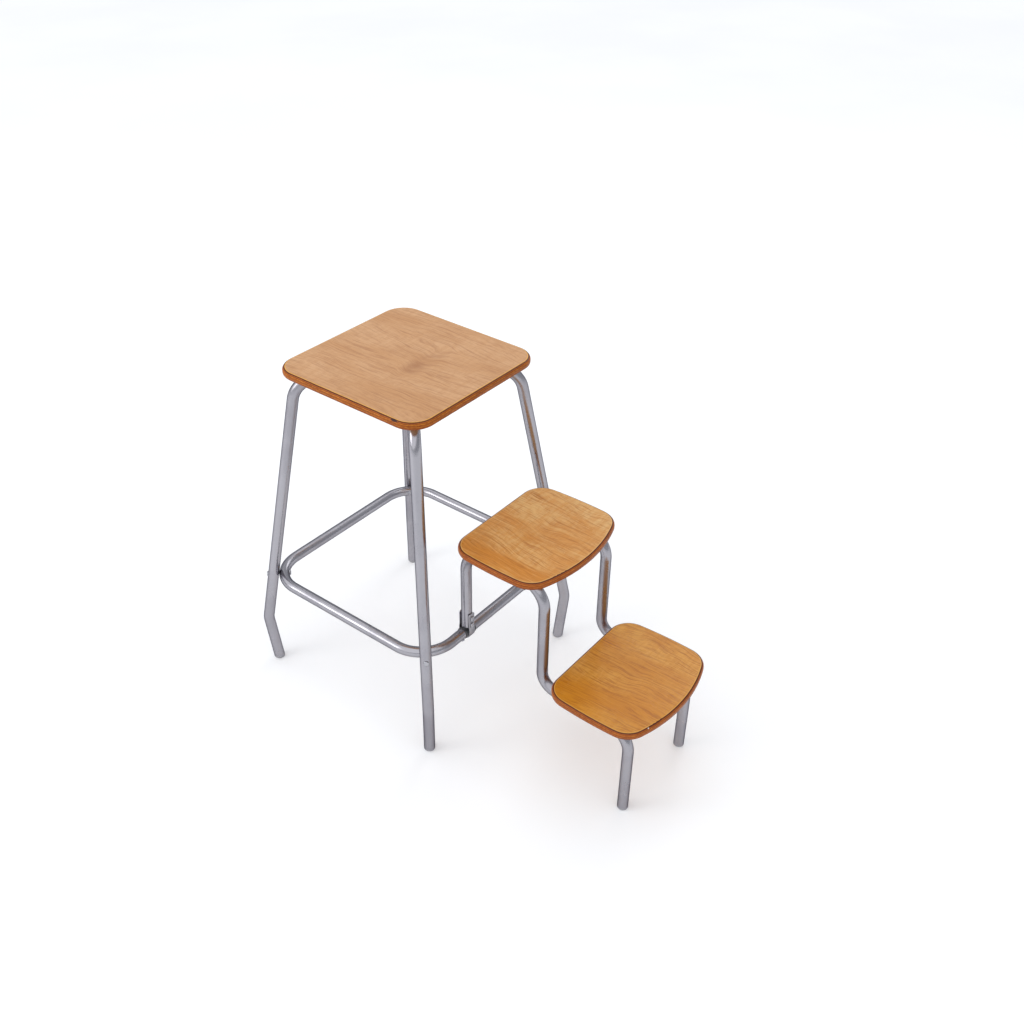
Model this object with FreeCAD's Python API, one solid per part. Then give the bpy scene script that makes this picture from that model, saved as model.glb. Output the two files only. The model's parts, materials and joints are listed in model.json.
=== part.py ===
import FreeCAD, Part
import math
import os

from FreeCAD import Rotation, Vector

# Square stool with a two-tread step unit that hinges on the stool's front rail.
# Millimetres, +Z up, floor at z = 0. The steps reach out towards -Y and x = 0 is
# the plane of symmetry. Shapes are drawn about the stool's own centre line and are
# then moved to the bottom centre of the whole footprint.

# ---- driving dimensions ----------------------------------------------------------
OVERALL_HEIGHT = 600.0
FOOTPRINT_SHIFT = 174.655           # stool centre line to footprint centre, along Y

BOARD_THICKNESS = 13.5              # nine 1.5 mm plies
BOARD_EDGE_ROUND = 5.5
SEAT_WIDTH = 300.0
SEAT_CORNER_RADIUS = 40.0

LEG_RADIUS = 9.5
TUBE_WALL = 1.5
LEG_OFFSET_AT_SEAT = 122.2          # leg axis from each centre plane, at seat height
LEG_SPLAY = 0.1365                  # outward run for each millimetre of drop
KNEE_HEIGHT = 95.5
FOOT_OFFSET = 184.2                 # leg axis from each centre plane, at the floor
LEG_TOP_BEND = 45.0
KNEE_BEND = 40.0

LEG_TAB_WIDTH = 26.0                # leg top pressed flat under the seat
LEG_TAB_INNER = 62.0                # distances from the stool's centre line
LEG_TAB_OUTER = 112.0

RAIL_RADIUS = 9.0
RAIL_HALF_WIDTH = 182.8
RAIL_HEIGHT = 193.0

TREAD_DEPTH = 186.0
TREAD_HALF_WIDTH = 118.3            # at the widest place
TREAD_WIDEST_AT = 109.7             # from the rear edge
TREAD_REAR_HALF = 112.5
TREAD_FRONT_HALF = 115.7
TREAD_SIDE_LENGTH = 159.9
TREAD_REAR_CORNER = 38.6
TREAD_FRONT_CORNER = 40.0
MIDDLE_TREAD_HEIGHT = 383.5
LOWER_TREAD_HEIGHT = 189.0
MIDDLE_TREAD_REAR = 6.6             # rear edge behind the hinge axis
LOWER_TREAD_REAR = -180.8

STEP_TUBE_RADIUS = 9.0
STEP_TUBE_BEND = 40.0
LOWER_REAR_BEND = 28.0              # behind the lower tread, clear of its rounded edge
STEP_TUBE_START = 12.0              # cut end above the hinge axis
MIDDLE_RISER_REACH = 157.6          # hinge axis to the riser between the treads
FRONT_LEG_REACH = 327.5
HINGE_OFFSET = 80.5                 # hinge from the plane of symmetry
TOE_OUT = 1.1                       # degrees that each side tube turns outwards

STRAP_WIDTH = 14.0
STRAP_THICKNESS = 1.5
STRAP_HEIGHT = 40.0                 # ears above the hinge axis
LINER_RADIUS = 10.0
LINER_LENGTH = 24.0
LINER_CLEARANCE = 0.06
HINGE_RIVET_HEIGHTS = (16.5, 29.5)  # above the hinge axis

PLUG_HEIGHT = 4.5
PLUG_STEM = 16.0
PLUG_EDGE = 2.0

SCREW_RADIUS = 2.0                  # screws through a tube into a board
SCREW_HEAD_RADIUS = 4.2
SCREW_HEAD_HEIGHT = 2.5
SEAT_SCREW_INSETS = (14.0, 38.0)    # from the inner end of a leg tab
SEAT_SCREW_COVER = 4.0              # plywood left above the tip
TREAD_SCREW_INSET = 10.0            # from the ends of a tube's level run
TREAD_SCREW_BITE = 9.5              # length in the plywood
BOLT_RADIUS = 2.5                   # leg to rail
BOLT_HEAD_RADIUS = 4.8
BOLT_HEAD_HEIGHT = 3.2
BOLT_REACH = 0.4                    # past the rail's inner face, into the nut
NUT_RADIUS = 4.8
NUT_HEIGHT = 3.2                    # a low cap nut
STOP_SCREW_RADIUS = 1.5             # low on the rail beside a hinge
STOP_SCREW_HEAD_RADIUS = 3.0
STOP_SCREW_HEAD_HEIGHT = 3.2
STOP_SCREW_TURN = 42.0              # forward from straight down, about the rail
STOP_SCREW_GAP = 6.0                # end of the liner to the screw's axis
RIVET_RADIUS = 2.5
RIVET_HEAD_RADIUS = 4.2
RIVET_HEAD_HEIGHT = 2.4
FASTENER_CLEARANCE = 0.1
SHORTEST_RUN = 0.01

# ---- worked out from the driving dimensions ----------------------------------------
SEAT_UNDERSIDE = OVERALL_HEIGHT - BOARD_THICKNESS
CLEAR_SCREW_RADIUS = SCREW_RADIUS + FASTENER_CLEARANCE
DIAGONAL = math.sqrt(2.0)
HINGE_Y = -RAIL_HALF_WIDTH
MIDDLE_TUBE_HEIGHT = MIDDLE_TREAD_HEIGHT - BOARD_THICKNESS - STEP_TUBE_RADIUS
LOWER_TUBE_HEIGHT = LOWER_TREAD_HEIGHT - BOARD_THICKNESS - STEP_TUBE_RADIUS
UP = Vector(0, 0, 1)
SIDES = (("left", -1), ("right", 1))
CORNERS = (("front_left", 225), ("front_right", 315), ("rear_right", 45), ("rear_left", 135))


def leg_axis(height):
    """Diagonal distance of the straight leg's axis from the stool's centre line."""
    return DIAGONAL * (LEG_OFFSET_AT_SEAT + LEG_SPLAY * (OVERALL_HEIGHT - height))


LEG_LEAN = math.atan(DIAGONAL * LEG_SPLAY)
RAIL_CORNER_REACH = leg_axis(RAIL_HEIGHT) - (LEG_RADIUS + RAIL_RADIUS + 0.05) / math.cos(LEG_LEAN)
RAIL_CORNER_RADIUS = (DIAGONAL * RAIL_HALF_WIDTH - RAIL_CORNER_REACH) / (DIAGONAL - 1)


# ---- general shapes ----------------------------------------------------------------
def cylinder(radius, start, end):
    """Round bar between two points."""
    return Part.makeCylinder(radius, (end - start).Length, start, end - start)


def bent_bar(points, bends, radius):
    """Solid round bar along straight runs joined by tangent arcs, one radius a corner."""
    pieces = []
    start = points[0]
    for corner, after, bend in zip(points[1:], points[2:], bends):
        before = (corner - start).normalize()
        onward = (after - corner).normalize()
        turn = before.getAngle(onward)
        tangent = bend * math.tan(turn / 2)
        arc_start = corner - before * tangent
        inward = (onward - before * math.cos(turn)).normalize()
        section = Part.Face(Part.Wire(Part.makeCircle(radius, arc_start, before)))
        axis = before.cross(onward)
        if (arc_start - start).Length > SHORTEST_RUN:
            pieces.append(cylinder(radius, start, arc_start))
        pieces.append(section.revolve(arc_start + inward * bend, axis, math.degrees(turn)))
        start = corner + onward * tangent
    pieces.append(cylinder(radius, start, points[-1]))
    return pieces[0].multiFuse(pieces[1:])


def bent_tube(points, bends, radius):
    """Open-ended tube with the common wall thickness."""
    return bent_bar(points, bends, radius).cut(bent_bar(points, bends, radius - TUBE_WALL))


def domed_head(radius, height, base, direction):
    """Round fastener head: a short rim under a low dome."""
    rim = height * 0.35
    rise = height - rim
    ball = (radius * radius + rise * rise) / (2 * rise)
    axis = Vector(direction).normalize()
    dome = Part.makeSphere(ball, base + axis * (height - ball))
    return cylinder(radius, base, base + axis * height).common(dome)


def screw(underside, tip):
    """Board screw that points up: a domed head below its seating face and a plain shank."""
    head = domed_head(SCREW_HEAD_RADIUS, SCREW_HEAD_HEIGHT, underside, Vector(0, 0, -1))
    return cylinder(SCREW_RADIUS, underside - UP * SCREW_HEAD_HEIGHT / 2, tip).fuse(head)


def turned(shape, degrees):
    """Copy turned about the stool's centre line."""
    copy = shape.copy()
    copy.rotate(Vector(0, 0, 0), UP, degrees)
    return copy


def edges_along(shape, direction, test):
    """Straight edges that run along a direction and whose middle passes a test."""
    chosen = []
    for edge in shape.Edges:
        along = edge.tangentAt(edge.FirstParameter)
        middle = edge.CenterOfMass
        if isinstance(edge.Curve, Part.Line) and abs(along.dot(direction)) > 0.999 and test(middle):
            chosen.append(edge)
    return chosen


def rounded_rim(board, low, high):
    """Round over every edge of the board's two flat faces."""
    rims = [edge for edge in board.Edges
            if abs(edge.BoundBox.ZLength) < 1e-3
            and min(abs(edge.BoundBox.ZMin - low), abs(edge.BoundBox.ZMin - high)) < 1e-3]
    return board.makeFillet(BOARD_EDGE_ROUND, rims)


# ---- seat --------------------------------------------------------------------------
def seat_board():
    """Square plywood seat with rounded corners and a rounded-over rim."""
    half = SEAT_WIDTH / 2
    blank = Part.makeBox(SEAT_WIDTH, SEAT_WIDTH, BOARD_THICKNESS, Vector(-half, -half, SEAT_UNDERSIDE))
    blank = blank.makeFillet(SEAT_CORNER_RADIUS, edges_along(blank, UP, lambda middle: True))
    board = rounded_rim(blank, SEAT_UNDERSIDE, OVERALL_HEIGHT)
    return board.cut(Part.makeCompound(seat_screw_parts("pilot")))


def seat_screw_parts(kind):
    """The two screws in each leg tab, or the pilot and clearance holes for them."""
    parts = []
    tab_bottom = SEAT_UNDERSIDE - 2 * TUBE_WALL
    screw_tip = OVERALL_HEIGHT - SEAT_SCREW_COVER
    for _, angle in CORNERS:
        for inset in SEAT_SCREW_INSETS:
            reach = LEG_TAB_INNER + inset
            foot = Vector(reach, 0, tab_bottom)
            tip = Vector(reach, 0, screw_tip)
            if kind == "screw":
                part = screw(foot, tip)
            elif kind == "pilot":
                part = cylinder(SCREW_RADIUS, Vector(reach, 0, SEAT_UNDERSIDE), tip)
            else:
                part = cylinder(CLEAR_SCREW_RADIUS, foot - UP, Vector(reach, 0, SEAT_UNDERSIDE + 1))
            parts.append(turned(part, angle))
    return parts


# ---- legs --------------------------------------------------------------------------
def bolt_hole(reach):
    """Clearance hole along X for a rail bolt, through the tube whose axis is at a distance."""
    radius = BOLT_RADIUS + FASTENER_CLEARANCE
    through = 1.6 * LEG_RADIUS
    return cylinder(radius, Vector(reach - through, 0, RAIL_HEIGHT), Vector(reach + through, 0, RAIL_HEIGHT))


def round_section(reach, radius, centre_height):
    """Circle across a leg top, in the four arcs that the flat section's edges meet."""
    centre = Vector(reach, 0, centre_height)
    spokes = [Vector(0, radius * math.cos(math.radians(angle)), radius * math.sin(math.radians(angle)))
              for angle in range(135, -225, -45)]
    arcs = [Part.Arc(centre + spokes[i], centre + spokes[i + 1], centre + spokes[(i + 2) % 8]).toShape()
            for i in range(0, 8, 2)]
    return Part.Wire(arcs)


def flat_section(reach, width, thickness, centre_height):
    """The same tube pressed flat: two straight flats joined by two half-round ends."""
    flat = (width - thickness) / 2
    half = thickness / 2
    left_top = Vector(reach, -flat, centre_height + half)
    right_top = Vector(reach, flat, centre_height + half)
    right_low = Vector(reach, flat, centre_height - half)
    left_low = Vector(reach, -flat, centre_height - half)
    edges = [Part.makeLine(left_top, right_top),
             Part.Arc(right_top, Vector(reach, flat + half, centre_height), right_low).toShape(),
             Part.makeLine(right_low, left_low),
             Part.Arc(left_low, Vector(reach, -flat - half, centre_height), left_top).toShape()]
    return Part.Wire(edges)


def leg():
    """Bent leg along +X: pressed-flat top, leaning run, knee and lower run."""
    centre = SEAT_UNDERSIDE - LEG_RADIUS
    top_corner = Vector(leg_axis(centre), 0, centre)
    knee = Vector(leg_axis(KNEE_HEIGHT), 0, KNEE_HEIGHT)
    foot = Vector(DIAGONAL * FOOT_OFFSET, 0, 0)
    down = (foot - knee).normalize()
    cut_end = foot - down * (PLUG_HEIGHT / abs(down.z))
    bend_end = top_corner.x - LEG_TOP_BEND * math.tan((math.pi / 2 - LEG_LEAN) / 2)
    path = [Vector(bend_end, 0, centre), top_corner, knee, cut_end]
    bends = (LEG_TOP_BEND, KNEE_BEND)
    press = 2 * TUBE_WALL
    tab_centre = SEAT_UNDERSIDE - TUBE_WALL
    inner = LEG_RADIUS - TUBE_WALL
    swage = Part.makeLoft([round_section(bend_end, LEG_RADIUS, centre),
                           flat_section(LEG_TAB_OUTER, LEG_TAB_WIDTH, press, tab_centre)], True, True)
    hollow = Part.makeLoft([round_section(bend_end, inner, centre),
                            flat_section(LEG_TAB_OUTER + 2, LEG_TAB_WIDTH - 5, 0.3, tab_centre)], True, True)
    tab = Part.makeBox(LEG_TAB_OUTER - LEG_TAB_INNER, LEG_TAB_WIDTH, press,
                       Vector(LEG_TAB_INNER, -LEG_TAB_WIDTH / 2, SEAT_UNDERSIDE - press))
    tab = tab.makeFillet(8.0, edges_along(tab, UP, lambda middle: middle.x < LEG_TAB_INNER + 1))
    solid = bent_bar(path, bends, LEG_RADIUS).multiFuse([swage, tab])
    tube = solid.cut(bent_bar(path, bends, inner)).cut(hollow)
    return tube.cut(bolt_hole(leg_axis(RAIL_HEIGHT))), path


def foot_plug(top_axis, foot, radius):
    """Plastic foot in a tube end: a flange as wide as the tube, flat on the floor."""
    down = (foot - top_axis).normalize()
    lip = foot - down * (PLUG_HEIGHT / abs(down.z))
    flange = cylinder(radius, lip, foot + down * 4)
    flange = flange.common(Part.makeBox(80, 80, 40, Vector(foot.x - 40, foot.y - 40, 0)))
    sole = [edge for edge in flange.Edges if edge.BoundBox.ZMax < 0.01]
    flange = flange.makeFillet(PLUG_EDGE, sole)
    stem = cylinder(radius - TUBE_WALL - 0.05, lip - down * PLUG_STEM, lip)
    return flange.fuse(stem)


# ---- rail and its fixings ------------------------------------------------------------
def rail_bar(radius):
    """Solid closed loop of the rail: four runs and four quarter bends."""
    straight = RAIL_HALF_WIDTH - RAIL_CORNER_RADIUS
    pieces = []
    for angle in (0, 90, 180, 270):
        run = cylinder(radius, Vector(RAIL_HALF_WIDTH, -straight, RAIL_HEIGHT),
                       Vector(RAIL_HALF_WIDTH, straight, RAIL_HEIGHT))
        section = Part.Face(Part.Wire(Part.makeCircle(radius, Vector(RAIL_HALF_WIDTH, straight, RAIL_HEIGHT),
                                                      Vector(0, 1, 0))))
        corner = section.revolve(Vector(straight, straight, RAIL_HEIGHT), UP, 90)
        pieces += [turned(run, angle), turned(corner, angle)]
    return pieces[0].multiFuse(pieces[1:])


def rail_ring():
    """Hollow rail with a bolt hole at each corner and a screw hole by each hinge."""
    ring = rail_bar(RAIL_RADIUS).cut(rail_bar(RAIL_RADIUS - TUBE_WALL))
    holes = [turned(bolt_hole(RAIL_CORNER_REACH), angle) for _, angle in CORNERS]
    for _, side in SIDES:
        place = stop_screw_place(side)
        hole = cylinder(STOP_SCREW_RADIUS + FASTENER_CLEARANCE, place - UP * 2 * RAIL_RADIUS, place)
        hole.rotate(place, Vector(1, 0, 0), -STOP_SCREW_TURN)
        holes.append(hole)
    return ring.cut(Part.makeCompound(holes))


def rail_bolts():
    """Round-headed bolt through each leg and rail corner."""
    leg_face = leg_axis(RAIL_HEIGHT) + LEG_RADIUS / math.cos(LEG_LEAN)
    leg_bar = cylinder(LEG_RADIUS, Vector(leg_axis(RAIL_HEIGHT + 40), 0, RAIL_HEIGHT + 40),
                       Vector(leg_axis(RAIL_HEIGHT - 40), 0, RAIL_HEIGHT - 40))
    under_head = Vector(leg_face - 1.6, 0, RAIL_HEIGHT)
    head = domed_head(BOLT_HEAD_RADIUS, BOLT_HEAD_HEIGHT, under_head, Vector(1, 0, 0))
    shank = cylinder(BOLT_RADIUS, Vector(RAIL_CORNER_REACH - RAIL_RADIUS - BOLT_REACH, 0, RAIL_HEIGHT),
                     Vector(leg_face + 0.5, 0, RAIL_HEIGHT))
    bolt = shank.fuse(head.cut(leg_bar))
    return Part.makeCompound([turned(bolt, angle) for _, angle in CORNERS])


def rail_nuts():
    """Low cap nut on each bolt, inside the rail corner."""
    seat = RAIL_CORNER_REACH - RAIL_RADIUS + 1.0
    nut = domed_head(NUT_RADIUS, NUT_HEIGHT, Vector(seat, 0, RAIL_HEIGHT), Vector(-1, 0, 0))
    thread = cylinder(BOLT_RADIUS, Vector(seat + 1, 0, RAIL_HEIGHT),
                      Vector(RAIL_CORNER_REACH - RAIL_RADIUS - BOLT_REACH, 0, RAIL_HEIGHT))
    nut = turned(nut.cut(thread), 45).cut(rail_bar(RAIL_RADIUS))
    return Part.makeCompound([turned(nut, angle - 45) for _, angle in CORNERS])


def stop_screw_place(side):
    """Point on the front rail's axis just outboard of a hinge liner."""
    return Vector(side * (HINGE_OFFSET + LINER_LENGTH / 2 + STOP_SCREW_GAP), HINGE_Y, RAIL_HEIGHT)


def rail_stop_screws():
    """Small screw low on the front rail beside each hinge, which keeps it from sliding."""
    screws = []
    front_run = rail_bar(RAIL_RADIUS)
    for _, side in SIDES:
        place = stop_screw_place(side)
        under = place - UP * RAIL_RADIUS
        head = domed_head(STOP_SCREW_HEAD_RADIUS, STOP_SCREW_HEAD_HEIGHT, under + UP, Vector(0, 0, -1))
        shank = cylinder(STOP_SCREW_RADIUS, under - UP * 0.5, under + UP * RAIL_RADIUS / 2)
        head = head.cut(front_run)
        stop_screw = shank.fuse(head)
        stop_screw.rotate(place, Vector(1, 0, 0), -STOP_SCREW_TURN)
        screws.append(stop_screw)
    return Part.makeCompound(screws)


# ---- step unit -----------------------------------------------------------------------
def on_side(shape, side):
    """Copy of a shape drawn in the plane x = 0, moved to a side tube and toed out."""
    copy = shape.copy()
    copy.rotate(Vector(0, HINGE_Y, 0), UP, side * TOE_OUT)
    copy.translate(Vector(side * HINGE_OFFSET, 0, 0))
    return copy


def tread_screw_places(tread_height):
    """Where two screws cross a side tube's level run, as distances ahead of the hinge."""
    if tread_height == MIDDLE_TREAD_HEIGHT:
        level = (STEP_TUBE_BEND, MIDDLE_RISER_REACH - STEP_TUBE_BEND)
    else:
        level = (MIDDLE_RISER_REACH + STEP_TUBE_BEND, FRONT_LEG_REACH - STEP_TUBE_BEND)
    return (level[0] + TREAD_SCREW_INSET, level[1] - TREAD_SCREW_INSET)


def tread_screw_parts(tread_height, kind):
    """Screws up through a side tube into a tread, or the holes for them, at x = 0."""
    parts = []
    underside = tread_height - BOARD_THICKNESS
    tube_bottom = underside - 2 * STEP_TUBE_RADIUS
    for reach in tread_screw_places(tread_height):
        base = Vector(0, HINGE_Y - reach, tube_bottom)
        tip = Vector(0, HINGE_Y - reach, underside + TREAD_SCREW_BITE)
        if kind == "screw":
            part = screw(base, tip)
        elif kind == "pilot":
            part = cylinder(SCREW_RADIUS, Vector(0, base.y, underside), tip)
        else:
            part = cylinder(CLEAR_SCREW_RADIUS, base - UP, Vector(0, base.y, underside + 1))
        parts.append(part)
    return parts


def side_tube(side):
    """One continuous side tube, from the hinge over both treads' runs to the floor."""
    stations = ((0, RAIL_HEIGHT + STEP_TUBE_START), (0, MIDDLE_TUBE_HEIGHT),
                (MIDDLE_RISER_REACH, MIDDLE_TUBE_HEIGHT), (MIDDLE_RISER_REACH, LOWER_TUBE_HEIGHT),
                (FRONT_LEG_REACH, LOWER_TUBE_HEIGHT), (FRONT_LEG_REACH, PLUG_HEIGHT))
    path = [Vector(0, HINGE_Y - reach, height) for reach, height in stations]
    bends = (STEP_TUBE_BEND, STEP_TUBE_BEND, LOWER_REAR_BEND, STEP_TUBE_BEND)
    tube = bent_tube(path, bends, STEP_TUBE_RADIUS)
    holes = tread_screw_parts(MIDDLE_TREAD_HEIGHT, "hole") + tread_screw_parts(LOWER_TREAD_HEIGHT, "hole")
    tube = on_side(tube.cut(Part.makeCompound(holes)), side)
    return tube.cut(Part.makeCompound(hinge_rivet_holes(side)))


def tread(tread_height, rear_offset):
    """Plywood tread: straight rear edge, bowed sides and a bulging front edge."""
    rear = HINGE_Y + rear_offset
    base = tread_height - BOARD_THICKNESS

    def point(x, ahead):
        return Vector(x, rear - ahead, base)

    right = Part.Arc(point(TREAD_REAR_HALF, 0), point(TREAD_HALF_WIDTH, TREAD_WIDEST_AT),
                     point(TREAD_FRONT_HALF, TREAD_SIDE_LENGTH))
    front = Part.Arc(point(TREAD_FRONT_HALF, TREAD_SIDE_LENGTH), point(0, TREAD_DEPTH),
                     point(-TREAD_FRONT_HALF, TREAD_SIDE_LENGTH))
    left = Part.Arc(point(-TREAD_FRONT_HALF, TREAD_SIDE_LENGTH), point(-TREAD_HALF_WIDTH, TREAD_WIDEST_AT),
                    point(-TREAD_REAR_HALF, 0))
    back = Part.LineSegment(point(-TREAD_REAR_HALF, 0), point(TREAD_REAR_HALF, 0))
    outline = Part.Wire([curve.toShape() for curve in (right, front, left, back)])
    blank = Part.Face(outline).extrude(UP * BOARD_THICKNESS)
    blank = blank.makeFillet(TREAD_REAR_CORNER, edges_along(blank, UP, lambda middle: middle.y > rear - 10))
    blank = blank.makeFillet(TREAD_FRONT_CORNER, edges_along(blank, UP, lambda middle: middle.y < rear - 150))
    board = rounded_rim(blank, base, tread_height)
    pilots = [on_side(pilot, side) for pilot in tread_screw_parts(tread_height, "pilot") for _, side in SIDES]
    return board.cut(Part.makeCompound(pilots))


def tread_screws(tread_height):
    """The four screws of one tread."""
    screws = tread_screw_parts(tread_height, "screw")
    return Part.makeCompound([on_side(screw, side) for screw in screws for _, side in SIDES])


# ---- hinges --------------------------------------------------------------------------
def strap_opening(growth):
    """U-shaped outline around the rail and the tube end, grown outwards by a thickness."""
    loop = LINER_RADIUS
    ear = STEP_TUBE_RADIUS
    outline = [(loop, 0), (loop, 8.0), (ear, 13.0), (ear, STRAP_HEIGHT + 5)]
    right = [Vector(0, HINGE_Y + y, RAIL_HEIGHT + z) for y, z in outline]
    left = [Vector(0, HINGE_Y - y, RAIL_HEIGHT + z) for y, z in reversed(outline)]
    lowest = Vector(0, HINGE_Y, RAIL_HEIGHT - loop)
    corners = right + left
    edges = [Part.makeLine(a, b) for a, b in zip(corners, corners[1:])]
    edges.append(Part.Arc(left[-1], lowest, right[0]).toShape())
    face = Part.Face(Part.Wire(edges))
    return face.makeOffset2D(growth) if growth else face


def hinge_strap(side):
    """Steel strap bent round the rail, with two ears that grip the side tube."""
    profile = strap_opening(STRAP_THICKNESS).cut(strap_opening(0))
    strap = profile.extrude(Vector(STRAP_WIDTH, 0, 0))
    strap.translate(Vector(side * HINGE_OFFSET - STRAP_WIDTH / 2, 0, 0))
    above = Part.makeBox(60, 60, 60, Vector(side * HINGE_OFFSET - 30, HINGE_Y - 30, RAIL_HEIGHT + STRAP_HEIGHT))
    strap = strap.cut(above)
    top = RAIL_HEIGHT + STRAP_HEIGHT
    strap = strap.makeFillet(3.5, edges_along(strap, Vector(0, 1, 0), lambda middle: abs(middle.z - top) < 0.1))
    return strap.cut(Part.makeCompound(hinge_rivet_holes(side)))


def hinge_liner(side):
    """Thin plastic sleeve between the strap and the rail: the bearing of the hinge."""
    start = Vector(side * HINGE_OFFSET - LINER_LENGTH / 2, HINGE_Y, RAIL_HEIGHT)
    end = start + Vector(LINER_LENGTH, 0, 0)
    return cylinder(LINER_RADIUS, start, end).cut(cylinder(RAIL_RADIUS + LINER_CLEARANCE, start, end))


def hinge_rivet_holes(side):
    """Clearance holes through a strap's ears and the tube end."""
    through = Vector(0, 2 * STEP_TUBE_RADIUS, 0)
    holes = []
    for height in HINGE_RIVET_HEIGHTS:
        middle = Vector(side * HINGE_OFFSET, HINGE_Y, RAIL_HEIGHT + height)
        holes.append(cylinder(RIVET_RADIUS + FASTENER_CLEARANCE, middle - through, middle + through))
    return holes


def hinge_rivets(side):
    """The two round-headed rivets of one hinge."""
    rivets = []
    grip = STEP_TUBE_RADIUS + STRAP_THICKNESS
    for height in HINGE_RIVET_HEIGHTS:
        middle = Vector(side * HINGE_OFFSET, HINGE_Y, RAIL_HEIGHT + height)
        rivet = cylinder(RIVET_RADIUS, middle - Vector(0, grip, 0), middle + Vector(0, grip, 0))
        for way in (-1, 1):
            outward = Vector(0, way, 0)
            base = middle + outward * grip
            rivet = rivet.fuse(domed_head(RIVET_HEAD_RADIUS, RIVET_HEAD_HEIGHT, base, outward))
        rivets.append(rivet)
    return Part.makeCompound(rivets)


# ---- assembly ------------------------------------------------------------------------
def build_nodes():
    """Every piece by node name, drawn about the stool's centre line."""
    nodes = {"seat_board": seat_board()}
    leg_shape, leg_path = leg()
    leg_holes = Part.makeCompound(seat_screw_parts("hole"))
    for name, angle in CORNERS:
        nodes["leg_" + name] = turned(leg_shape, angle).cut(leg_holes)
        plug = foot_plug(leg_path[2], Vector(DIAGONAL * FOOT_OFFSET, 0, 0), LEG_RADIUS)
        nodes["foot_plug_" + name] = turned(plug, angle)
    nodes["seat_screws"] = Part.makeCompound(seat_screw_parts("screw"))
    nodes["rail_ring"] = rail_ring()
    nodes["rail_bolts"] = rail_bolts()
    nodes["rail_nuts"] = rail_nuts()
    nodes["rail_stop_screws"] = rail_stop_screws()
    nodes["middle_tread"] = tread(MIDDLE_TREAD_HEIGHT, MIDDLE_TREAD_REAR)
    nodes["lower_tread"] = tread(LOWER_TREAD_HEIGHT, LOWER_TREAD_REAR)
    nodes["middle_tread_screws"] = tread_screws(MIDDLE_TREAD_HEIGHT)
    nodes["lower_tread_screws"] = tread_screws(LOWER_TREAD_HEIGHT)
    step_foot = Vector(0, HINGE_Y - FRONT_LEG_REACH, 0)
    step_plug = foot_plug(step_foot + UP * LOWER_TUBE_HEIGHT, step_foot, STEP_TUBE_RADIUS)
    for name, side in SIDES:
        nodes["side_tube_" + name] = side_tube(side)
        nodes["step_foot_plug_" + name] = on_side(step_plug, side)
        nodes["hinge_strap_" + name] = hinge_strap(side)
        nodes["hinge_liner_" + name] = hinge_liner(side)
        nodes["hinge_rivets_" + name] = hinge_rivets(side)
    return nodes


os.makedirs("parts", exist_ok=True)
for node, shape in build_nodes().items():
    shape.translate(Vector(0, FOOTPRINT_SHIFT, 0))
    shape.exportStep(os.path.join("parts", node + ".step"))
    volume = shape.Volume / 1000
    print(f"{node:26s} solids {len(shape.Solids)}  volume {volume:9.3f} cm3  valid {shape.isValid()}")
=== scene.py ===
# %% [markdown]
# # A square stool with steps that fold away
#
# The object is a plywood stool on four splayed tube legs. A closed rail ties the legs
# together, and a unit of two plywood treads on two bent side tubes hangs on the front
# run of the rail by two strap hinges. The CAD frame already has every shape to size, so
# the boards and tubes stay as they are and get their finishes here. The small metal and
# plastic pieces are modelled again in finer detail, in place of their plain CAD solids.
#
# The frame is loaded first. The finished model must not grow past it.

import json
import math

import bmesh
import bpy
from mathutils import Matrix, Vector

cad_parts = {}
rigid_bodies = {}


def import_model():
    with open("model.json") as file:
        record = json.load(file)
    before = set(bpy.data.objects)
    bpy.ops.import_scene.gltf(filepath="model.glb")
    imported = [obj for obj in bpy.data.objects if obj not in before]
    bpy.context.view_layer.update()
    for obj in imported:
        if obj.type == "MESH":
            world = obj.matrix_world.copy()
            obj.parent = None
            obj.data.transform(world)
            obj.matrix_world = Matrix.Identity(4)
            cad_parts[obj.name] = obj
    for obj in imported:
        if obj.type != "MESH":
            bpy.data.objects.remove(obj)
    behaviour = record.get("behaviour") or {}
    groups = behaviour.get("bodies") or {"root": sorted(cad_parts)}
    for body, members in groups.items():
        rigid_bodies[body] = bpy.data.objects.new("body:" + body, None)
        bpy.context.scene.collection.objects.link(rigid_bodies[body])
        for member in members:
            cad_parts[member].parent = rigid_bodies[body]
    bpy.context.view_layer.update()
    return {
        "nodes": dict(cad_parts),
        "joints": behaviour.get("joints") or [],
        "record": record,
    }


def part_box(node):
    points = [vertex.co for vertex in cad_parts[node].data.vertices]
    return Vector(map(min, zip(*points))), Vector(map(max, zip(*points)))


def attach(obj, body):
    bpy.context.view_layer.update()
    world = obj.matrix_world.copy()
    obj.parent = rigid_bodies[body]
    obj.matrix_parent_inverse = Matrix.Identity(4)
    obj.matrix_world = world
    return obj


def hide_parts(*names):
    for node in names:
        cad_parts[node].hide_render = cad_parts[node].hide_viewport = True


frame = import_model()
MM = 0.001
RECORD = frame["record"]
MOUNT_PLACES = {mount["name"]: Vector(mount["pos_m"]) for mount in RECORD["mounts"]}

# %% [markdown]
# ## Helpers for modelling
#
# Every operator acts on whatever is selected, and the loaded CAD nodes start selected.
# Clearing the selection before each primitive keeps the frame safe. Faces and edges are
# then picked in code by where they are, because there is no mouse to click with.

# %% Start a piece, pick parts of it, and finish it
SMOOTH_ANGLE, CRISP_ANGLE = math.radians(40), math.radians(35)
NEARLY = 0.99       # of the way to an end face, for picking what lies on it


def start_piece(name, primitive, **sizes):
    """Adds a primitive on its own and opens it in edit mode."""
    bpy.ops.object.select_all(action="DESELECT")
    primitive(**sizes)
    piece = bpy.context.active_object
    piece.name = piece.data.name = name
    bpy.ops.object.mode_set(mode="EDIT")
    return piece


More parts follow.
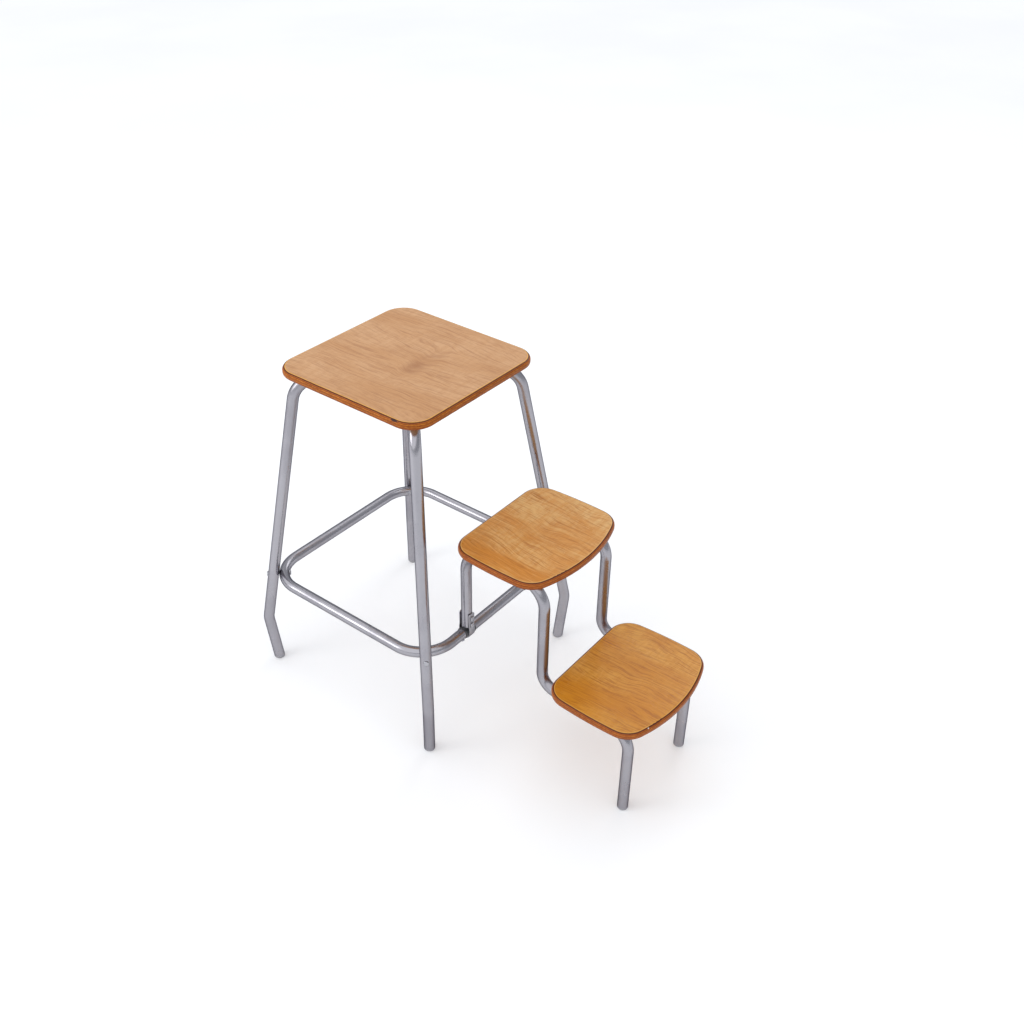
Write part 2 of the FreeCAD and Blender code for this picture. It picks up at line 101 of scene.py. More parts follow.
def pick(piece, kind, test):
    """Selects the vertices, edges or faces whose middle passes a test, and nothing else."""
    bpy.ops.mesh.select_mode(type=kind)
    bpy.ops.mesh.select_all(action="DESELECT")
    mesh = bmesh.from_edit_mesh(piece.data)
    items = {"VERT": mesh.verts, "EDGE": mesh.edges, "FACE": mesh.faces}[kind]
    count = 0
    for item in items:
        corners = [item.co] if kind == "VERT" else [vertex.co for vertex in item.verts]
        chosen = test(sum(corners, Vector()) / len(corners), corners)
        item.select_set(chosen)
        count += chosen
    mesh.select_flush_mode()
    bmesh.update_edit_mesh(piece.data)
    return count


def leave_edit(piece):
    """Goes back to object mode with outward normals and smooth curved faces."""
    bpy.ops.mesh.select_all(action="SELECT")
    bpy.ops.mesh.normals_make_consistent(inside=False)
    bpy.ops.object.mode_set(mode="OBJECT")
    bpy.ops.object.transform_apply(location=True, rotation=True, scale=True)
    bpy.ops.object.shade_smooth_by_angle(angle=SMOOTH_ANGLE)
    return piece


def add_modifier(piece, kind, **settings):
    """Adds one modifier and applies it."""
    bpy.ops.object.select_all(action="DESELECT")
    bpy.context.view_layer.objects.active = piece
    piece.select_set(True)
    modifier = piece.modifiers.new(kind.title(), kind)
    for key, value in settings.items():
        setattr(modifier, key, value)
    bpy.ops.object.modifier_apply(modifier=modifier.name)


def join_pieces(pieces, name):
    """Makes one object of several."""
    bpy.ops.object.select_all(action="DESELECT")
    for piece in pieces:
        piece.select_set(True)
    bpy.context.view_layer.objects.active = pieces[0]
    if len(pieces) > 1:
        bpy.ops.object.join()
    pieces[0].name = pieces[0].data.name = name
    return pieces[0]


def placed_copy(master, place, towards):
    """Copy of a piece drawn about the origin along +Z, stood at a place and pointed a way."""
    turn = Vector(towards).to_track_quat("Z", "Y").to_matrix().to_4x4()
    mesh = master.data.copy()
    mesh.transform(Matrix.Translation(place) @ turn)
    copy = bpy.data.objects.new("copy", mesh)
    bpy.context.scene.collection.objects.link(copy)
    return copy


def drop_master(master):
    """Removes a master once its copies are placed."""
    bpy.data.objects.remove(master)


def stand_in(piece, node, body):
    """Hands a finished piece to the frame in place of its CAD node."""
    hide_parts(node)
    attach(piece, body)
    print(f"{piece.name}: {len(piece.data.polygons)} faces, rides on {body}")


def node_points(node):
    """Points of a CAD node at rest."""
    return [vertex.co.copy() for vertex in frame["nodes"][node].data.vertices]


def clusters(node, gap, ignore=(0, 0, 0)):
    """Boxes of the separate solids in one CAD node. Points nearer than a gap go together."""
    keep = Vector((1 - ignore[0], 1 - ignore[1], 1 - ignore[2]))
    groups = []
    for point in node_points(node):
        for group in groups:
            if ((point - group[0]) * keep).length < gap:
                group.append(point)
                break
        else:
            groups.append([point])
    boxes = []
    for group in groups:
        low = Vector(min(point[axis] for point in group) for axis in range(3))
        high = Vector(max(point[axis] for point in group) for axis in range(3))
        boxes.append((low, high))
    return boxes


HINGE = Vector(frame["joints"][0]["pos_m"])
SIDES = (("left", -1), ("right", 1))
CORNERS = {"front_left": (-1, -1), "front_right": (1, -1), "rear_left": (-1, 1), "rear_right": (1, 1)}
print("hinge axis at", [round(c, 4) for c in HINGE])

# %% [markdown]
# ## Round fastener heads
#
# Rivets, bolts and screws all have a low domed head. A sphere could be cut for it, but a
# real head is a short rim that turns over into a dome, so a thin cylinder with its upper
# edge bevelled is nearer. The size of the bevel sets how domed it looks. A shallow dimple
# in the middle catches light the way a driven rivet does.

# %% A domed head on a shank
CROWN_PROFILE = 0.62                    # fuller than a quarter circle
DIMPLE_LIP, DIMPLE_FLOOR = 0.45, 0.2    # insets, as parts of the flat crown's radius
DIMPLE_SECOND_STEP = 0.4                # of the first step down


def round_head(name, radius, height, rounding, shank_radius, shank_length, dimple=0.0):
    """Domed head with its seat at z = 0, pointing along +Z, and a shank below it."""
    head = start_piece(name, bpy.ops.mesh.primitive_cylinder_add, vertices=48, radius=radius,
                       depth=height, location=(0, 0, height / 2))
    half = height / 2
    pick(head, "EDGE", lambda middle, ends: min(end.z for end in ends) > half * NEARLY)
    bpy.ops.mesh.bevel(offset=rounding, segments=8, profile=CROWN_PROFILE, affect="EDGES")
    if dimple:
        pick(head, "FACE", lambda middle, corners: min(c.z for c in corners) > half * NEARLY)
        bpy.ops.mesh.inset(thickness=(radius - rounding) * DIMPLE_LIP)
        bpy.ops.transform.translate(value=(0, 0, -dimple))
        bpy.ops.mesh.inset(thickness=(radius - rounding) * DIMPLE_FLOOR)
        bpy.ops.transform.translate(value=(0, 0, -dimple * DIMPLE_SECOND_STEP))
    pick(head, "FACE", lambda middle, corners: max(c.z for c in corners) < -half * NEARLY)
    bpy.ops.mesh.inset(thickness=radius - shank_radius)
    bpy.ops.mesh.extrude_region_move(TRANSFORM_OT_translate={"value": (0, 0, -shank_length)})
    return leave_edit(head)


# %% [markdown]
# ## Hinge rivets
#
# Two rivets, one above the other, go through both ears of each strap and the end of the
# side tube between them. One rivet is a head, its shank and a second head facing the
# other way. It is modelled once and copied to the four places.

# %% Make the rivets
RIVET_HEAD_HEIGHT, RIVET_ROUNDING = 2.4 * MM, 1.9 * MM
RIVET_SHANK_RADIUS, RIVET_DIMPLE = 2.5 * MM, 0.3 * MM
RIVET_SPACING = 6 * MM


def hinge_rivets():
    """The rivets of both hinges, in place of the CAD ones."""
    for side, _ in SIDES:
        node = "hinge_rivets_" + side
        copies = []
        for low, high in clusters(node, RIVET_SPACING, ignore=(0, 1, 0)):
            middle = (low + high) / 2
            length = high.y - low.y
            seat_reach = length / 2 - RIVET_HEAD_HEIGHT
            master = round_head("rivet_head", (high.x - low.x) / 2, RIVET_HEAD_HEIGHT, RIVET_ROUNDING,
                                RIVET_SHANK_RADIUS, seat_reach, dimple=RIVET_DIMPLE)
            for way in (-1, 1):
                seat = middle + Vector((0, way * seat_reach, 0))
                copies.append(placed_copy(master, seat, (0, way, 0)))
            drop_master(master)
        stand_in(join_pieces(copies, "rivets_" + side), node, "step_unit")


hinge_rivets()

# %% [markdown]
# ## Screws with a cross recess
#
# The boards are held by screws from below, up through the flattened leg tops and through
# the level runs of the side tubes. Their heads show only from underneath. The cross
# recess is cut with a Boolean modifier by two crossed wedges, which is how the punch that
# forms it is shaped: wide at the top of the head and narrow at the bottom.

# %% Make the screw master and place the screws
SCREW_HEAD_HEIGHT, SCREW_SHANK_RADIUS, SCREW_SPACING = 2.5 * MM, 2 * MM, 8 * MM
PAN_ROUNDING = 0.7                      # of the head's height
RECESS_WIDTH, RECESS_LENGTH = 0.28, 1.15        # of the head's radius
RECESS_DEPTH, RECESS_TAPER = 0.6, (0.45, 0.6, 1)        # of the head's height, and at its bottom


def cross_punch(width, length, depth, top):
    """Two crossed tapered blades that cut a recess into the top of a head."""
    blades = []
    for turn in (0, math.pi / 2):
        blade = start_piece("blade", bpy.ops.mesh.primitive_cube_add, size=1,
                            location=(0, 0, top), scale=(length, width, depth * 2))
        pick(blade, "FACE", lambda middle, corners: max(c.z for c in corners) < 0)
        bpy.ops.transform.resize(value=RECESS_TAPER)
        leave_edit(blade)
        blade.data.transform(Matrix.Rotation(turn, 4, "Z"))
        blades.append(blade)
    return blades


def cross_head_screw(name, radius, height, shank_radius, shank_length):
    """Pan head with a cross recess, on a plain shank."""
    screw = round_head(name, radius, height, height * PAN_ROUNDING, shank_radius, shank_length)
    for blade in cross_punch(radius * RECESS_WIDTH, radius * RECESS_LENGTH, height * RECESS_DEPTH, height):
        add_modifier(screw, "BOOLEAN", operation="DIFFERENCE", solver="EXACT", object=blade)
        drop_master(blade)
    bpy.ops.object.shade_smooth_by_angle(angle=CRISP_ANGLE)
    return screw


def board_screws(node, body):
    """Screws of one board, heads down, in place of the CAD ones."""
    boxes = clusters(node, SCREW_SPACING, ignore=(0, 0, 1))
    low, high = boxes[0]
    master = cross_head_screw("screw", (high.x - low.x) / 2, SCREW_HEAD_HEIGHT, SCREW_SHANK_RADIUS,
                              high.z - low.z - SCREW_HEAD_HEIGHT)
    copies = []
    for low, high in boxes:
        seat = Vector(((low.x + high.x) / 2, (low.y + high.y) / 2, low.z + SCREW_HEAD_HEIGHT))
        copies.append(placed_copy(master, seat, (0, 0, -1)))
    drop_master(master)
    stand_in(join_pieces(copies, node + "_cross_head"), node, body)


board_screws("seat_screws", "stool")
board_screws("middle_tread_screws", "step_unit")
board_screws("lower_tread_screws", "step_unit")


RAIL_RADIUS = 9.0 * MM
STOP_SCREW_TURN = math.radians(42)      # forward from straight down
STOP_SCREW_RADIUS, STOP_SCREW_PROUD, STOP_SCREW_SUNK = 3.0 * MM, 2.2 * MM, 0.6 * MM
STOP_SHANK_RADIUS, STOP_SHANK_LENGTH, STOP_SCREW_SPACING = 1.5 * MM, 4 * MM, 20 * MM


def stop_screws():
    """Small screws low on the front rail, turned a little forward, in place of the CAD ones."""
    way = Vector((0, -math.sin(STOP_SCREW_TURN), -math.cos(STOP_SCREW_TURN)))
    master = cross_head_screw("screw", STOP_SCREW_RADIUS, STOP_SCREW_PROUD + STOP_SCREW_SUNK,
                              STOP_SHANK_RADIUS, STOP_SHANK_LENGTH)
    copies = []
    for low, high in clusters("rail_stop_screws", STOP_SCREW_SPACING):
        on_axis = Vector(((low.x + high.x) / 2, HINGE.y, HINGE.z))
        copies.append(placed_copy(master, on_axis + way * (RAIL_RADIUS - STOP_SCREW_SUNK), way))
    drop_master(master)
    stand_in(join_pieces(copies, "stop_screws_cross_head"), "rail_stop_screws", "stool")


stop_screws()

# %% [markdown]
# ## Rail bolts and cap nuts
#
# Where a leg crosses a corner of the rail, one bolt holds both. Outside is a low round
# head, and inside the corner is a low cap nut that keeps the thread covered. Both are
# pressed shapes with a soft dome, so both come from the same head, and only the nut has
# a dimple in its middle.

# %% Make the bolts and nuts
def outward(corner):
    """Level direction from the stool's centre line to a corner."""
    x, y = CORNERS[corner]
    return Vector((x, y, 0)).normalized()


def corner_span(node, corner, centre):
    """Nearest and farthest distance of a node's points along the way out to a corner."""
    way = outward(corner)
    reaches = [(point - centre).dot(way) for point in node_points(node)
               if (point - centre).dot(way) > 0.8 * (point - centre).length]
    return min(reaches), max(reaches)


BOLT_RADIUS, BOLT_HEIGHT, BOLT_ROUNDING, BOLT_SHANK_RADIUS = 4.8 * MM, 3.2 * MM, 2.4 * MM, 2.5 * MM
NUT_RADIUS, NUT_HEIGHT, NUT_ROUNDING = 4.8 * MM, 3.1 * MM, 2.0 * MM
NUT_NECK_RADIUS, NUT_NECK_LENGTH, NUT_DIMPLE = 3.0 * MM, 0.5 * MM, 0.25 * MM


def rail_fixings():
    """Bolt heads outside the legs and cap nuts inside the rail corners."""
    low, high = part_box("rail_ring")
    centre = (low + high) / 2
    bolts, nuts = [], []
    nut_master = round_head("nut", NUT_RADIUS, NUT_HEIGHT, NUT_ROUNDING, NUT_NECK_RADIUS,
                            NUT_NECK_LENGTH, dimple=NUT_DIMPLE)
    for corner in CORNERS:
        way = outward(corner)
        inner, outer = corner_span("rail_bolts", corner, centre)
        master = round_head("bolt", BOLT_RADIUS, BOLT_HEIGHT, BOLT_ROUNDING, BOLT_SHANK_RADIUS,
                            outer - inner - BOLT_HEIGHT)
        bolts.append(placed_copy(master, centre + way * (outer - BOLT_HEIGHT), way))
        drop_master(master)
        nut_near, _ = corner_span("rail_nuts", corner, centre)
        nuts.append(placed_copy(nut_master, centre + way * (nut_near + NUT_HEIGHT), -way))
    drop_master(nut_master)
    stand_in(join_pieces(bolts, "round_head_bolts"), "rail_bolts", "stool")
    stand_in(join_pieces(nuts, "cap_nuts"), "rail_nuts", "stool")


rail_fixings()

# %% [markdown]
# ## Hinge straps
#
# Each hinge is one strip of steel, bent round the rail like a saddle so that its two ears
# grip the end of the side tube. The strip is drawn as the real one is made: a flat ear, a
# slight set inwards, then a half turn about the rail made with Spin, and the same again
# going up. Solidify gives it the sheet's thickness and a small bevel takes off the
# sheared edges.

# %% Bend the straps
SHEET = 1.5 * MM
EAR_SET_IN = 1.0 * MM
EAR_FOOT, LOOP_TOP = 13 * MM, 8 * MM    # heights above the hinge where the set starts and ends
EAR_CORNER, SHEARED_EDGE = 3.5 * MM, 0.35 * MM
SHARP_CORNER, PLANE_HALF = math.radians(50), 0.5


def hinge_strap(side):
    """Strap of one hinge, in place of the CAD one."""
    node = "hinge_strap_" + side
    low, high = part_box(node)
    loop = (high.y - low.y) / 2 - SHEET
    middle = Vector(((low.x + high.x) / 2, HINGE.y, HINGE.z))
    width = high.x - low.x
    ear = loop - EAR_SET_IN
    profile = [(ear, high.z - HINGE.z), (ear, EAR_FOOT), (loop, LOOP_TOP), (loop, 0)]
    strap = start_piece("strap_" + side, bpy.ops.mesh.primitive_plane_add, size=1, location=(0, 0, 0))
    pick(strap, "VERT", lambda middle, ends: middle.y > 0)
    bpy.ops.mesh.delete(type="VERT")
    bpy.ops.mesh.select_all(action="SELECT")
    bpy.ops.transform.resize(value=(width, 1, 1))
    ear_out, ear_up = profile[0]
    bpy.ops.transform.translate(value=(middle.x, middle.y - ear_out + PLANE_HALF, middle.z + ear_up))
    for (out_a, up_a), (out_b, up_b) in zip(profile, profile[1:]):
        bpy.ops.mesh.extrude_region_move(TRANSFORM_OT_translate={"value": (0, out_a - out_b, up_b - up_a)})
    bpy.ops.mesh.spin(steps=24, angle=-math.pi, center=middle, axis=(1, 0, 0))
    back = list(reversed(profile))
    for (out_a, up_a), (out_b, up_b) in zip(back, back[1:]):
        bpy.ops.mesh.extrude_region_move(TRANSFORM_OT_translate={"value": (0, out_b - out_a, up_b - up_a)})
    top = high.z - 0.1 * MM
    bpy.ops.mesh.select_all(action="SELECT")
    bpy.ops.mesh.remove_doubles(threshold=0.01 * MM)
    corner_count = pick(strap, "VERT", lambda middle, ends: middle.z > top)
    bpy.ops.mesh.bevel(offset=EAR_CORNER, segments=6, affect="VERTICES")
    leave_edit(strap)
    add_modifier(strap, "SOLIDIFY", thickness=SHEET, offset=1)
    span = [vertex.co.y for vertex in strap.data.vertices]
    print(f"{strap.name}: {corner_count} ear corners, y {min(span):.4f} to {max(span):.4f}")
    add_modifier(strap, "BEVEL", width=SHEARED_EDGE, segments=2, limit_method="ANGLE",
                 angle_limit=SHARP_CORNER)
    bpy.ops.object.shade_smooth_by_angle(angle=CRISP_ANGLE)
    stand_in(strap, node, "step_unit")


for side, _ in SIDES:
    hinge_strap(side)

# %% [markdown]
# ## Foot plugs
#
# Each tube ends in a moulded plastic plug: a stem inside the tube and a cap as wide as
# the tube, cut flat for the floor. The legs meet the floor at a slant, so each plug is
# drawn along its own tube and then cut level with Bisect. The sole's edge is rounded, and
# a shallow hollow leaves a ring that stands on the floor.

# %% Mould the plugs
LEG_RADIUS, STEP_TUBE_RADIUS = 9.5 * MM, 9.0 * MM
CAP_HEIGHT, CAP_BELOW_FLOOR = 4.5 * MM, 4 * MM      # the part below the floor is cut away
STEM_INSET, STEM_END_GAP = 1.6 * MM, 3 * MM
SOLE_ROUNDING, SOLE_RIM, SOLE_HOLLOW = 2.6 * MM, 1.8 * MM, 0.8 * MM
TOP_RING, STEM_TAPER = 3 * MM, 0.96     # points that show the tube's slant, and the stem's far end
UPRIGHT, LEVEL = 0.9999, 0.01 * MM      # near enough to vertical, and to the floor


def foot_plug(node, mount, body, radius):
    """Plug of one tube, in place of the CAD one."""
    points = node_points(node)
    foot = MOUNT_PLACES[mount]
    top = max(point.z for point in points)
    ring = [point for point in points if point.z > top - TOP_RING]
    along = (sum(ring, Vector()) / len(ring) - foot).normalized()
    if along.z > UPRIGHT:
        along = Vector((0, 0, 1))
    length = top / along.z
    cap_top = CAP_HEIGHT / along.z
    half = (cap_top + CAP_BELOW_FLOOR) / 2
    plug = start_piece("plug", bpy.ops.mesh.primitive_cylinder_add, vertices=64, radius=radius,
                       depth=2 * half, location=(0, 0, (cap_top - CAP_BELOW_FLOOR) / 2))
    pick(plug, "FACE", lambda middle, corners: min(c.z for c in corners) > half * NEARLY)
    bpy.ops.mesh.inset(thickness=STEM_INSET)
    stem_length = length - cap_top - STEM_END_GAP
    bpy.ops.mesh.extrude_region_move(TRANSFORM_OT_translate={"value": (0, 0, stem_length)})
    bpy.ops.transform.resize(value=(STEM_TAPER, STEM_TAPER, 1))
    leave_edit(plug)
    plug.data.transform(Matrix.Translation(foot) @ along.to_track_quat("Z", "Y").to_matrix().to_4x4())
    bpy.ops.object.mode_set(mode="EDIT")
    bpy.ops.mesh.select_all(action="SELECT")
    bpy.ops.mesh.bisect(plane_co=(0, 0, 0), plane_no=(0, 0, 1), clear_inner=True, use_fill=True)
    pick(plug, "EDGE", lambda middle, ends: max(end.z for end in ends) < LEVEL)
    bpy.ops.mesh.bevel(offset=SOLE_ROUNDING, segments=7, affect="EDGES")
    pick(plug, "FACE", lambda middle, corners: max(c.z for c in corners) < LEVEL)
    bpy.ops.mesh.inset(thickness=SOLE_RIM)
    bpy.ops.mesh.extrude_region_move(TRANSFORM_OT_translate={"value": (0, 0, SOLE_HOLLOW)})
    leave_edit(plug)
    plug.name = plug.data.name = node + "_moulded"
    stand_in(plug, node, body)


for corner in CORNERS:
    foot_plug("foot_plug_" + corner, "floor_" + corner, "stool", LEG_RADIUS)
for side, _ in SIDES:
    foot_plug("step_foot_plug_" + side, "floor_step_" + side, "step_unit", STEP_TUBE_RADIUS)

# %% [markdown]
# ## Building materials from nodes
#
# All finishes are made of nodes that read Object coordinates, which here are metres in
# the frame. A pattern then stays on its piece when the steps fold, and it looks the same
# from every side. A few small helpers keep the node code short.

# %% Node helpers
def new_node(tree, kind, **settings):
    """Adds a node and sets its properties and unlinked inputs."""
    node = tree.nodes.new(kind)
    for key, value in settings.items():
        if hasattr(node, key):
            setattr(node, key, value)
        else:
            node.inputs[key.replace("_", " ")].default_value = value
    return node


def math_node(tree, operation, first, second=None, third=None, clamp=False):
    """Math node fed by sockets or plain numbers. Returns its output."""
    node = tree.nodes.new("ShaderNodeMath")
    node.operation = operation
    node.use_clamp = clamp
    for index, value in enumerate((first, second, third)):
        if value is None:
            continue
        if isinstance(value, (int, float)):
            node.inputs[index].default_value = value
        else:
            tree.links.new(value, node.inputs[index])
    return node.outputs[0]


def vector_math(tree, operation, first, second=None):
    """Vector math fed by sockets or plain vectors. Returns its output."""
    node = new_node(tree, "ShaderNodeVectorMath", operation=operation)
    for socket, value in zip(node.inputs, (first, second)):
        if isinstance(value, bpy.types.NodeSocket):
            tree.links.new(value, socket)
        elif value is not None:
            socket.default_value = value
    return node.outputs["Value" if operation == "LENGTH" else "Vector"]


def one_axis(tree, vector, axis):
    """One axis of a vector. Returns its output."""
    parts = new_node(tree, "ShaderNodeSeparateXYZ")
    tree.links.new(vector, parts.inputs[0])
    return parts.outputs[axis]


def remap(tree, value, low, high, to_low=0.0, to_high=1.0):
    """Stretches a range of values smoothly onto another, clamped at its ends."""
    node = tree.nodes.new("ShaderNodeMapRange")
    node.interpolation_type = "SMOOTHSTEP"
    tree.links.new(value, node.inputs["Value"])
    for name, number in (("From Min", low), ("From Max", high), ("To Min", to_low), ("To Max", to_high)):
        node.inputs[name].default_value = number
    return node.outputs["Result"]


def scaled_noise(tree, vector, scale, detail=2.0, roughness=0.5, distortion=0.0, offset=(0, 0, 0)):
    """Noise with its own scale on each axis. Returns the value output."""
    mapping = new_node(tree, "ShaderNodeMapping")
    mapping.inputs["Scale"].default_value = scale
    mapping.inputs["Location"].default_value = offset
    tree.links.new(vector, mapping.inputs["Vector"])
    noise = new_node(tree, "ShaderNodeTexNoise", Scale=1.0, Detail=detail, Roughness=roughness,
                     Distortion=distortion)
    tree.links.new(mapping.outputs["Vector"], noise.inputs["Vector"])
    return noise.outputs["Fac"]


def mixed(tree, factor, first, second):
    """Colour mix of two sockets or plain colours. Returns the result."""
    node = tree.nodes.new("ShaderNodeMix")
    node.data_type = "RGBA"
    for socket, value in ((node.inputs[0], factor), (node.inputs[6], first), (node.inputs[7], second)):
        if isinstance(value, (int, float)):
            socket.default_value = value
        elif isinstance(value, tuple):
            socket.default_value = (*value, 1.0)
        else:
            tree.links.new(value, socket)
    return node.outputs[2]


def new_group(name, inputs, outputs):
    """Node group with named sockets. Returns the tree, its input node and its output node."""
    tree = bpy.data.node_groups.new(name, "ShaderNodeTree")
    for socket_name, kind, default in inputs:
        socket = tree.interface.new_socket(socket_name, in_out="INPUT", socket_type=kind)
        if default is not None:
            socket.default_value = default
    for socket_name, kind in outputs:
        tree.interface.new_socket(socket_name, in_out="OUTPUT", socket_type=kind)
    return tree, tree.nodes.new("NodeGroupInput"), tree.nodes.new("NodeGroupOutput")


def send_out(tree, made, **values):
    """Links a group's results to its output node."""
    for name, value in values.items():
        tree.links.new(value, made.inputs[name.replace("_", " ")])


def use_group(tree, group, **inputs):
    """Places a node group and fills its inputs."""
    node = tree.nodes.new("ShaderNodeGroup")
    node.node_tree = group
    for key, value in inputs.items():
        socket = node.inputs[key.replace("_", " ")]
        if isinstance(value, bpy.types.NodeSocket):
            tree.links.new(value, socket)
        else:
            socket.default_value = value
    return node


def new_material(name, **surface):
    """Material with one Principled BSDF. Returns it, its tree and the shader."""
    material = bpy.data.materials.new(name)
    material.use_nodes = True
    tree = material.node_tree
    shader = tree.nodes["Principled BSDF"]
    for key, value in surface.items():
        shader.inputs[key.replace("_", " ")].default_value = value
    material.diffuse_color = (0.5, 0.5, 0.5, 1.0)
    return material, tree, shader


def object_place(tree):
    """Object coordinates, in metres."""
    return new_node(tree, "ShaderNodeTexCoord").outputs["Object"]


def bump(tree, shader, height, strength, distance):
    """Feeds a height into the shader's normal."""
    node = new_node(tree, "ShaderNodeBump", Strength=strength, Distance=distance)
    tree.links.new(height, node.inputs["Height"])
    tree.links.new(node.outputs["Normal"], shader.inputs["Normal"])

# %% [markdown]
# ## The figure of rotary-cut birch
#
# Birch plywood is faced with veneer peeled off a turning log, so its figure is broad and
# wandering: soft clouds, a few flowing growth lines, fine streaks and short pores along
# the grain, and faint ripples across it. No picture is used. The growth lines are a sine
# of the distance across the grain, broken up by a noise, and the other four are noises
# stretched along the grain or across it. They come out of one node group, which the seat
# and the treads share with their own values.
#
# A knot under the veneer turns the grain round it. That is made by pushing the
# coordinates sideways near one point before the lines are read.

# %% The birch figure as a node group
# Noise cells per metre across the grain, along it and through the board.
DRIFT_SCALE, FINE_DRIFT_SCALE = (9, 3.2, 0), (48, 14, 0)
CLOUD_SCALE, BREAK_SCALE = (16, 5, 0), (60, 9, 0)
STREAK_SCALE, PORE_SCALE, RIPPLE_SCALE = (320, 13, 0), (800, 55, 0), (40, 150, 0)
DRIFT_PUSH, FINE_DRIFT_PUSH = 0.075, 0.006      # how far the grain wanders, in metres
LINE_RATE = 620.0                               # radians per metre across the grain
KNOT_SQUEEZE, KNOT_REACH = (0.85, 2.7, 0.0), 0.07


def birch_figure_group():
    """Group that gives clouds, growth lines, streaks, pores and ripples, each from 0 to 1."""
    tree, given, made = new_group(
        "Birch Figure",
        [("Place", "NodeSocketVector", None), ("Swirl Centre", "NodeSocketVector", (0, 0, 0)),
         ("Swirl", "NodeSocketFloat", 0.0), ("Seed", "NodeSocketFloat", 0.0)],
        [("Clouds", "NodeSocketFloat"), ("Lines", "NodeSocketFloat"), ("Streaks", "NodeSocketFloat"),
         ("Pores", "NodeSocketFloat"), ("Ripples", "NodeSocketFloat"), ("Knot", "NodeSocketFloat")])
    place = given.outputs["Place"]
    from_centre = vector_math(tree, "SUBTRACT", place, given.outputs["Swirl Centre"])
    distance = vector_math(tree, "LENGTH", vector_math(tree, "MULTIPLY", from_centre, KNOT_SQUEEZE))
    knot = remap(tree, distance, 0.0, KNOT_REACH, 1.0, 0.0)
    drift = scaled_noise(tree, place, DRIFT_SCALE, detail=3, offset=(0.7, 0.2, 0))
    fine_drift = scaled_noise(tree, place, FINE_DRIFT_SCALE, detail=3, offset=(3.1, 1.2, 0))
    fine_push = math_node(tree, "MULTIPLY", fine_drift, FINE_DRIFT_PUSH)
    push = math_node(tree, "MULTIPLY_ADD", drift, DRIFT_PUSH, fine_push)
    push = math_node(tree, "ADD", push, math_node(tree, "MULTIPLY", given.outputs["Swirl"], knot))
    across = math_node(tree, "ADD", one_axis(tree, place, "X"), push)
    across = math_node(tree, "ADD", across, given.outputs["Seed"])
    moved = new_node(tree, "ShaderNodeCombineXYZ")
    tree.links.new(across, moved.inputs["X"])
    tree.links.new(one_axis(tree, place, "Y"), moved.inputs["Y"])
    grain = moved.outputs[0]
    clouds = scaled_noise(tree, grain, CLOUD_SCALE, detail=4, roughness=0.55)
    rings = math_node(tree, "SINE", math_node(tree, "MULTIPLY", across, LINE_RATE))
    breaks = scaled_noise(tree, grain, BREAK_SCALE, detail=2, offset=(5, 0, 0))
    rings = math_node(tree, "MULTIPLY", remap(tree, rings, -0.2, 1.0), remap(tree, breaks, 0.42, 0.66))
    streaks = scaled_noise(tree, grain, STREAK_SCALE, detail=4, roughness=0.72, offset=(7, 3, 0))
    pores = remap(tree, scaled_noise(tree, grain, PORE_SCALE, detail=2, roughness=0.6), 0.52, 0.72)
    ripples = scaled_noise(tree, grain, RIPPLE_SCALE, detail=3, distortion=0.8, offset=(2, 4, 0))
    send_out(tree, made, Clouds=clouds, Lines=rings, Streaks=streaks, Pores=pores, Ripples=ripples,
             Knot=knot)
    return tree


# %% [markdown]
# ## Plies on the rounded edge
#
# The boards are cut through all their layers, and the edge is rounded over and stained by
# handling. Seen from above, the veneer's worn edge is a thin bright line, the first glue
# line below it is dark, and then come bands of alternating plies. All of this depends
# only on the height below the board's top face, so the group takes that face's height and
# the board's thickness, and gives an edge mask, a bright line, glue lines and the ply
# bands. The mask ends at both faces, so the underside keeps the look of the veneer.

# %% The ply edge as a node group
# Depths are in metres from the top face, and BOTTOM_EDGE's from the underside. Between the
# two numbers of a pair, a mask goes from off to full or, where the name ends in END, back.
BOARD_THICKNESS, PLY_COUNT, PLY_START = 0.0135, 7.0, 0.0015
WANDER_SCALE, WANDER, SLIGHT_PART = (70, 70, 70), 0.0009, 0.12
TOP_EDGE, BOTTOM_EDGE = (0.0, 0.00004), (0.00002, 0.00006)
WORN_END, FIRST_GLUE_START = (0.00014, 0.00024), (0.00014, 0.00025)
FIRST_GLUE_END, THIN_GLUE_START = (0.0008, 0.0014), (0.0012, 0.0022)
GLUE_WIDTH, GLUE_FADE = (0.24, 0.42), (0.40, 0.90)      # parts of a ply, and of full strength


